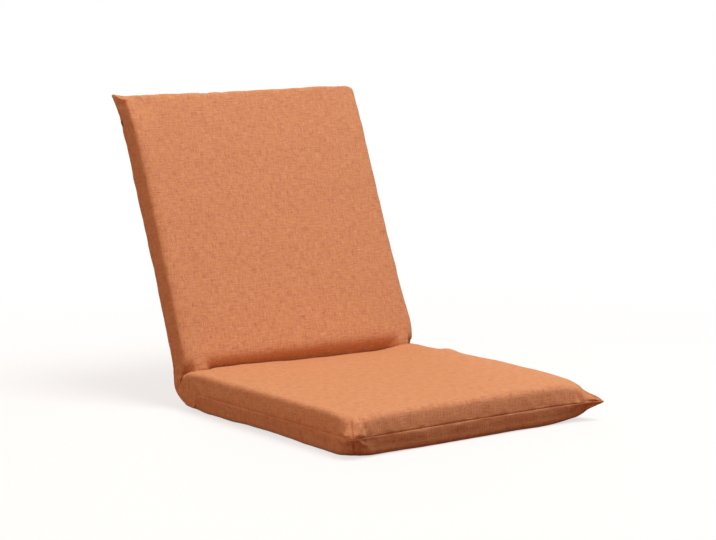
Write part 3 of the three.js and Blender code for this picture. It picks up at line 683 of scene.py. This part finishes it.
# The folds: how high the fan at each ear is, the short ones across the seat's front wall (place, half
# width and height, then their stretch of the wall and the rear panel's share), the fan round the
# hinge's gather, the deep one where the side walls bend, and the dent at each end of the crease.
top_fan, near_front_fan, far_front_fan, fan_at, fan_width = 1.5, 0.9, 2.4, 17, 15
front_folds = ((-217, 2.4, -3.6), (-225, 4.5, 2.6), (-208, 5.0, 1.0),
               (213, 3.2, -2.4), (221, 3.5, 1.6), (229, 3.0, -2.4))
front_folds_from, front_folds_run, front_folds_rear = 0.25, 0.72, 0.3
gather_at, gather_x, gather_fan, gather_reach, gather_width = (-4, 12), 225, 1.1, 24, 13
bend_length = 115
wall_fold, wall_fold_x, wall_fold_width = 3.6, 215, 4.0
crease_dent, crease_dent_x, crease_dent_run, crease_dent_width = 1.4, 196, 12, 3.0
slit_reach, slit_half, slit_lip, slit_cut = (15, 9), 14, (2.2, 0.84, 0.09), (1.6, 0.96, 0.03)


def corner_folds(panel, points, m):
    """The fan of folds at each ear, and the slit where the near front corner is tucked in."""
    lift = np.zeros_like(m)
    for side, column, front_fan in ((-1, 0, near_front_fan), (1, -1, far_front_fan)):
        for end_row, high in ((0, top_fan), (-1, front_fan)):
            gone = points - points[end_row, column]
            far = np.linalg.norm(gone, axis=2)
            turn = np.arctan2(np.abs(gone[:, :, 0]), np.linalg.norm(gone[:, :, 1:], axis=2))
            fan = np.sin(turn * 15 + panel.seed + side) + 0.6 * np.sin(turn * 26 + 2 * side)
            lift += high * fan * bell(far, fan_at, fan_width)
            if panel.is_front and side < 0 and end_row < 0:
                slit = bell(far, *slit_reach) * (np.abs(gone[:, :, 0]) < slit_half)
                lift += slit * (slit_lip[0] * bell(m, *slit_lip[1:]) - slit_cut[0] * bell(m, *slit_cut[1:]))
    return lift


# All of it dies out over this last share of the wall, since the seam lies still.
still = 1 / 9


def creases(panel, points, m, lengths, rows):
    """The small unevenness of sewn cloth: swells on the faces, puckers by the seam, folds at the ears."""
    u, v = lengths[:, :, 0], lengths[:, :, 1]
    x, y, z = points[:, :, 0], points[:, :, 1] - hinge_at[0], points[:, :, 2] - hinge_at[1]
    share = np.array([row.share for row in rows])[:, None]
    along = np.array([row.along for row in rows])[:, None]
    end_wall = np.array([row.m > 0 for row in rows])[:, None]
    in_bend = (share > 0) & (share < 1)
    lift = waves(u, v, face_swell, panel.seed)
    run = np.where(np.abs(x) > width / 2 - side_strip, v, u)
    from_seam = (1 - m) * wall_height
    lift += bell(from_seam, *seam_puckers) * waves(run, from_seam * seam_run_on, seam_swell, panel.seed + 1)
    lift += bell(from_seam, *wall_puckers) * waves(run, from_seam * wall_run_on, wall_swell, panel.seed + 2)
    lift += corner_folds(panel, points, m)
    down_wall = np.sin(math.pi * np.clip((m - front_folds_from) / front_folds_run, 0, 1))
    down_wall = down_wall * (end_wall & (share == 1)) * (1 if panel.is_front else front_folds_rear)
    for fold_x, fold_width, high in front_folds:
        lift += high * bell(x, fold_x, fold_width) * down_wall

    from_gather = y - gather_at[0], z - gather_at[1]
    ray = np.arctan2(from_gather[1], -from_gather[0])
    fan = np.sin(ray * 11 + 1.0) + 0.5 * np.sin(ray * 19)
    on_side = eased((m - 0.05) / 0.3) * (np.abs(x) > gather_x)
    lift += gather_fan * fan * bell(np.hypot(*from_gather), gather_reach, gather_width) * on_side
    from_middle = (share - 0.5) * bend_length
    upper_wall = eased(m / 0.12) * (1 - eased((m - 0.25) / 0.4)) * (np.abs(x) > wall_fold_x)
    lift -= wall_fold * bell(from_middle, 0, wall_fold_width) * upper_wall
    over_plate = eased((np.abs(x) - crease_dent_x) / crease_dent_run) * (1 - eased(m / 0.2))
    lift -= crease_dent * bell(from_middle, 0, crease_dent_width) * over_plate
    by_side = np.clip((np.abs(x) - bend_side) / bend_side_run, 0, 1) ** 2
    by_side = by_side * bell(along, 0, bend_spread) * (in_bend | (along < bend_seat)) * (m < 1)
    lift += by_side * waves(u, v, bend_swell, panel.seed + 3)
    if not panel.is_front:
        lift = np.where(in_bend, np.maximum(lift, 0), lift)
    calm = np.clip((1 - m) / still, 0, 1) * (1 - along_zip(x, m) * (end_wall & (share == 0)))
    outward = facing(points) * (-1 if panel.is_front else 1)
    return points + outward * (lift * calm)[:, :, None]


def cloth_panel(panel, material):
    """The panel's piece, with the cloth's own lengths as its UV map, in metres."""
    points, m, lengths, rows = lay_panel(panel)
    points = creases(panel, points, m, lengths, rows)
    points[:, :, 2] = np.maximum(points[:, :, 2], 0.0)
    index = np.arange(m.size).reshape(m.shape)
    corners = [index[:-1, :-1], index[:-1, 1:], index[1:, 1:], index[1:, :-1]]
    if panel.is_front:
        corners.reverse()
    faces = np.stack(corners, axis=2).reshape(-1, 4)
    mesh = meshed(panel.name, points.reshape(-1, 3), faces.tolist(), material)
    layer = mesh.uv_layers.new(name="cloth")
    order = np.zeros(len(mesh.loops), int)
    mesh.loops.foreach_get("vertex_index", order)
    layer.data.foreach_set("uv", (lengths.reshape(-1, 2)[order] / 1000).ravel())
    mesh.polygons.foreach_set("use_smooth", [True] * len(mesh.polygons))
    made = placed(panel.name, mesh)
    finer = made.modifiers.new("finer mesh", "SUBSURF")
    finer.levels = finer.render_levels = 1
    return made


# Linen is a plain weave of thick and thin threads. The real ones are 0.7 mm apart; they are drawn
# 2.3 mm apart, in dashes of 16 mm both ways, so that they show. The dye takes unevenly, pink to ochre.
thread_apart, thread_run, thread_height, dye_patch = 2.325, 16.13, 0.0007, 11.11
linen, tree, shader, place = new_finish("woven terracotta linen", {
    "Roughness": 0.95, "Specular IOR Level": 0.15, "Sheen Weight": 0.5, "Sheen Roughness": 0.6,
    "Sheen Tint": from_hex("#ffcb94")})
threads = []
for across, along in ((thread_run, thread_apart), (thread_apart, thread_run)):
    drawn_out = add(tree, "ShaderNodeMapping",
                    {"Vector": place.outputs["UV"], "Scale": (per_metre(across), per_metre(along), 1.0)})
    uneven = add(tree, "ShaderNodeTexNoise",
                 {"Vector": drawn_out.outputs["Vector"], "Scale": 1.0, "Detail": 4.0, "Roughness": 0.65})
    threads.append(uneven.outputs["Fac"])
weave = add(tree, "ShaderNodeMath", {0: threads[0], 1: threads[1]}, operation="ADD")
spread = add(tree, "ShaderNodeMapRange",
             {"Value": weave.outputs["Value"], "From Min": 0.7, "From Max": 1.3})
pink = add(tree, "ShaderNodeMix",
           {0: spread.outputs["Result"], 6: from_hex("#ae6447"), 7: from_hex("#e1a480")}, data_type="RGBA")
dye = add(tree, "ShaderNodeTexNoise",
          {"Vector": place.outputs["UV"], "Scale": per_metre(dye_patch), "Detail": 4.0})
ochre = add(tree, "ShaderNodeMapRange",
            {"Value": dye.outputs["Fac"], "From Min": 0.35, "From Max": 0.7, "To Max": 0.65})
add(tree, "ShaderNodeMix", {0: ochre.outputs["Result"], 6: pink.outputs[2], 7: from_hex("#d29561")},
    {2: shader.inputs["Base Color"]}, data_type="RGBA")
add(tree, "ShaderNodeBump", {"Height": weave.outputs["Value"], "Strength": 0.6, "Distance": thread_height},
    {"Normal": shader.inputs["Normal"]})

front = cloth_panel(front_panel, linen)
rear = cloth_panel(rear_panel, linen)
for part in (front, rear):
    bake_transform(part)
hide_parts("seat_cover_top", "back_cover_front", "crease_cover")
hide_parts("seat_cover_base", "back_cover_rear", "bend_cover")


# The zip in the back's top edge, through which the cover is put on. Two woven tapes, a nylon coil, a
# die-cast slider and its flat pull. The tape's twill shows as fine diagonal lines, 1.4 mm apart.
twill_apart, twill_depth = 1.395, 0.0003
zip_tape, tree, shader, place = new_finish("woven polyester tape", {"Roughness": 0.85})
# A wave texture's diagonal bands lie farther apart than its straight ones, by 2 to the root of 3.
diagonal = math.sqrt(3) / 2
twill_scale = bands_per_metre(twill_apart * diagonal)
twill = add(tree, "ShaderNodeTexWave", {"Vector": place.outputs["Object"], "Scale": twill_scale},
            bands_direction="DIAGONAL")
add(tree, "ShaderNodeMix", {0: twill.outputs["Fac"], 6: from_hex("#a2532f"), 7: from_hex("#c06e44")},
    {2: shader.inputs["Base Color"]}, data_type="RGBA")
add(tree, "ShaderNodeBump", {"Height": twill.outputs["Fac"], "Strength": 0.4, "Distance": twill_depth},
    {"Normal": shader.inputs["Normal"]})

# The blackening on the slider is rubbed lighter in patches of a few millimetres.
rub_patch = 5.556
antique, tree, shader, place = new_finish("die-cast zinc, blackened", {"Metallic": 0.7})
rub = add(tree, "ShaderNodeTexNoise",
          {"Vector": place.outputs["Object"], "Scale": per_metre(rub_patch), "Detail": 4.0})
add(tree, "ShaderNodeMix", {0: rub.outputs["Fac"], 6: from_hex("#3b3734"), 7: from_hex("#5a544e")},
    {2: shader.inputs["Base Color"]}, data_type="RGBA")
add(tree, "ShaderNodeMapRange", {"Value": rub.outputs["Fac"], "To Min": 0.3, "To Max": 0.55},
    {"Result": shader.inputs["Roughness"]})
for node, material, body, slot in (
        ("zip_tape_front", zip_tape, "back", "zip_tape"), ("zip_tape_rear", zip_tape, "back", "zip_tape"),
        ("zip_slider", antique, "slider", "zip_metal"), ("zip_pull", antique, "pull", "zip_metal")):
    piece = remade(node, "cover_" + node, material, rounded_edges)
    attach(piece, body)


def thread(name, path, radius, material):
    """A round strand swept along a path, in millimetres, which rides on the back."""
    ring_sides = 6
    path = np.array(path)
    ahead = np.gradient(path, axis=0)
    ahead = ahead / np.linalg.norm(ahead, axis=1, keepdims=True)
    over = np.cross(ahead, [0.31, 0.17, 0.93])
    over = over / np.linalg.norm(over, axis=1, keepdims=True)
    beside = np.cross(ahead, over)
    turns = np.arange(ring_sides) * 2 * math.pi / ring_sides
    ring = over[:, None] * np.cos(turns)[None, :, None] + beside[:, None] * np.sin(turns)[None, :, None]
    spots = (path[:, None] + ring * radius).reshape(-1, 3)
    faces = []
    for first in range(0, (len(path) - 1) * ring_sides, ring_sides):
        for k in range(ring_sides):
            following, next_ring = (k + 1) % ring_sides, first + ring_sides
            faces.append((first + k, first + following, next_ring + following, next_ring + k))
    last = (len(path) - 1) * ring_sides
    faces += [tuple(range(ring_sides))[::-1], tuple(range(last, last + ring_sides))]
    mesh = meshed(name, spots, faces, material)
    mesh.polygons.foreach_set("use_smooth", [True] * len(mesh.polygons))
    made = placed(name, mesh)
    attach(made, "back")
    return made


# The coil is one nylon filament, closed in flat turns; its grey is broken by dust and wear.
dust_patch = 3.125
nylon, tree, shader, place = new_finish("nylon coil, dark grey", {"Roughness": 0.42})
dust = add(tree, "ShaderNodeTexNoise",
           {"Vector": place.outputs["Object"], "Scale": per_metre(dust_patch), "Detail": 3.0})
add(tree, "ShaderNodeMix", {0: dust.outputs["Fac"], 6: from_hex("#35302d"), 7: from_hex("#544b45")},
    {2: shader.inputs["Base Color"]}, data_type="RGBA")
coil_up, coil_out, coil_tilt = 505.8, -14.4, 0.065
coil_step, coil_wide, coil_high, filament = 1.5, 1.5, 0.75, 0.36
turns = np.arange(0, (zip_left - zip_right) / coil_step, 1 / 10)
coil_path = []
for turn in turns:
    wide, high = math.cos(turn * 2 * math.pi) * coil_wide, math.sin(turn * 2 * math.pi) * coil_high
    at_wall = on_back(coil_up + coil_tilt * wide + high, coil_out + wide) + hinge_at
    coil_path.append((zip_right + turn * coil_step, *at_wall))
coil = thread("cover_zip_coil", coil_path, filament, nylon)
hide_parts("zip_coil")


# The bar tack that locks the end of the near side seam: a close zigzag of dark brown thread, sewn
# through both panels. The thread's plies show as lines 0.4 mm apart.
ply_apart = 0.403
tack_thread, tree, shader, place = new_finish("polyester thread, dark brown", {"Roughness": 0.6})
ply_scale = bands_per_metre(ply_apart * diagonal)
ply = add(tree, "ShaderNodeTexWave", {"Vector": place.outputs["Object"], "Scale": ply_scale},
          bands_direction="DIAGONAL")
add(tree, "ShaderNodeMix", {0: ply.outputs["Fac"], 6: from_hex("#2a1a14"), 7: from_hex("#4a3026")},
    {2: shader.inputs["Base Color"]}, data_type="RGBA")
tack_x, tack_up, tack_out = -243.4, 460.5, -26.0
tack_stitches, stitch_step, stitch_reach, tack_swell, tack_radius = 24, 0.42, 2.6, 0.5, 0.35
stitches = []
for k in range(tack_stitches + 1):
    out_x = tack_x - tack_swell * math.sin(math.pi * k / tack_stitches)
    across = tack_out + stitch_reach * (-1) ** k
    stitches.append((out_x, *(on_back(tack_up + k * stitch_step, across) + hinge_at)))
thread("bar_tack", stitches, tack_radius, tack_thread)


# The room: a plain pale floor, soft studio light, and the camera. The floor is white to the camera and
# a warm wood tone to the light that it throws back, so that the sides keep their depth.
# Away from the chair it fades to a glow of its own and meets the background without a line.
fade_from, fade_to = 0.45, 1.6
floor_paint = bpy.data.materials.new("matt white floor paint")
floor_paint.use_nodes = True
tree = floor_paint.node_tree
tree.nodes.clear()
path = add(tree, "ShaderNodeLightPath")
place = add(tree, "ShaderNodeNewGeometry")
apart = add(tree, "ShaderNodeVectorMath", {0: place.outputs["Position"]}, operation="LENGTH")
fade_range = {"From Min": fade_from, "From Max": fade_to, "To Min": 0.7, "To Max": 1.0}
fade = add(tree, "ShaderNodeMapRange", {"Value": apart.outputs["Value"], **fade_range},
           interpolation_type="SMOOTHSTEP")
paint = add(tree, "ShaderNodeBsdfDiffuse", {"Color": from_hex("#f2f1ef")})
glow = add(tree, "ShaderNodeEmission", {"Color": from_hex("#ffffff"), "Strength": 1.0})
pale = add(tree, "ShaderNodeMixShader",
           {0: fade.outputs["Result"], 1: paint.outputs["BSDF"], 2: glow.outputs["Emission"]})
wood = add(tree, "ShaderNodeBsdfDiffuse", {"Color": from_hex("#743a1c")})
seen = add(tree, "ShaderNodeMixShader",
           {0: path.outputs["Is Camera Ray"], 1: wood.outputs["BSDF"], 2: pale.outputs["Shader"]})
add(tree, "ShaderNodeOutputMaterial", {"Surface": seen.outputs["Shader"]})
floor_half = 9000
floor_corners = [(-floor_half, -floor_half, 0), (floor_half, -floor_half, 0),
                 (floor_half, floor_half, 0), (-floor_half, floor_half, 0)]
floor = placed("floor", meshed("floor", floor_corners, [(0, 1, 2, 3)], floor_paint))

world = bpy.data.worlds.new("studio")
bpy.context.scene.world = world
world.use_nodes = True
tree = world.node_tree
tree.nodes.clear()
path = add(tree, "ShaderNodeLightPath")
seen = add(tree, "ShaderNodeMath", {0: path.outputs["Is Camera Ray"], 1: path.outputs["Is Glossy Ray"]},
           operation="MAXIMUM")
soft = add(tree, "ShaderNodeBackground", {"Color": from_hex("#ffdec4"), "Strength": 0.4})
white = add(tree, "ShaderNodeBackground", {"Color": from_hex("#ffffff"), "Strength": 1.0})
choice = add(tree, "ShaderNodeMixShader",
             {0: seen.outputs["Value"], 1: soft.outputs["Background"], 2: white.outputs["Background"]})
add(tree, "ShaderNodeOutputWorld", {"Surface": choice.outputs["Shader"]})


def area_light(name, at, aim, size, watts, tint):
    """A square soft box, of this size in metres, aimed at a point."""
    lamp = bpy.data.lights.new(name, "AREA")
    lamp.size, lamp.energy, lamp.color = size, watts, from_hex(tint)[:3]
    holder = placed(name, lamp)
    holder.location = at
    holder.rotation_euler = (Vector(aim) - Vector(at)).to_track_quat("-Z", "Y").to_euler()


area_light("key_light", at=(0.55, -0.95, 3.15), aim=(0, 0.1, 0.2), size=1.7, watts=90, tint="#ffffff")
area_light("side_light", at=(-2.4, -0.35, 1.1), aim=(0, 0.2, 0.2), size=1.8, watts=16, tint="#ffdcc2")
area_light("rear_light", at=(0.6, 3.2, 1.6), aim=(0, 0.3, 0.2), size=1.6, watts=34, tint="#ffffff")

# The camera looks from the chair's right front, from a little above the seat.
azimuth, elevation = math.radians(-36.97), math.radians(7.39)
aim, distance = Vector((0.0414, 0.14345, 0.2245)), 3.1955
ground = math.cos(elevation)
away = Vector((math.sin(azimuth) * ground, -math.cos(azimuth) * ground, math.sin(elevation)))
lens = bpy.data.cameras.new("camera")
lens.sensor_width, lens.lens = 36.0, 94.52
camera = placed("camera", lens)
camera.location = aim + away * distance
camera.rotation_euler = away.to_track_quat("Z", "Y").to_euler()
bpy.context.scene.camera = camera
bpy.context.scene.view_settings.view_transform = "Standard"
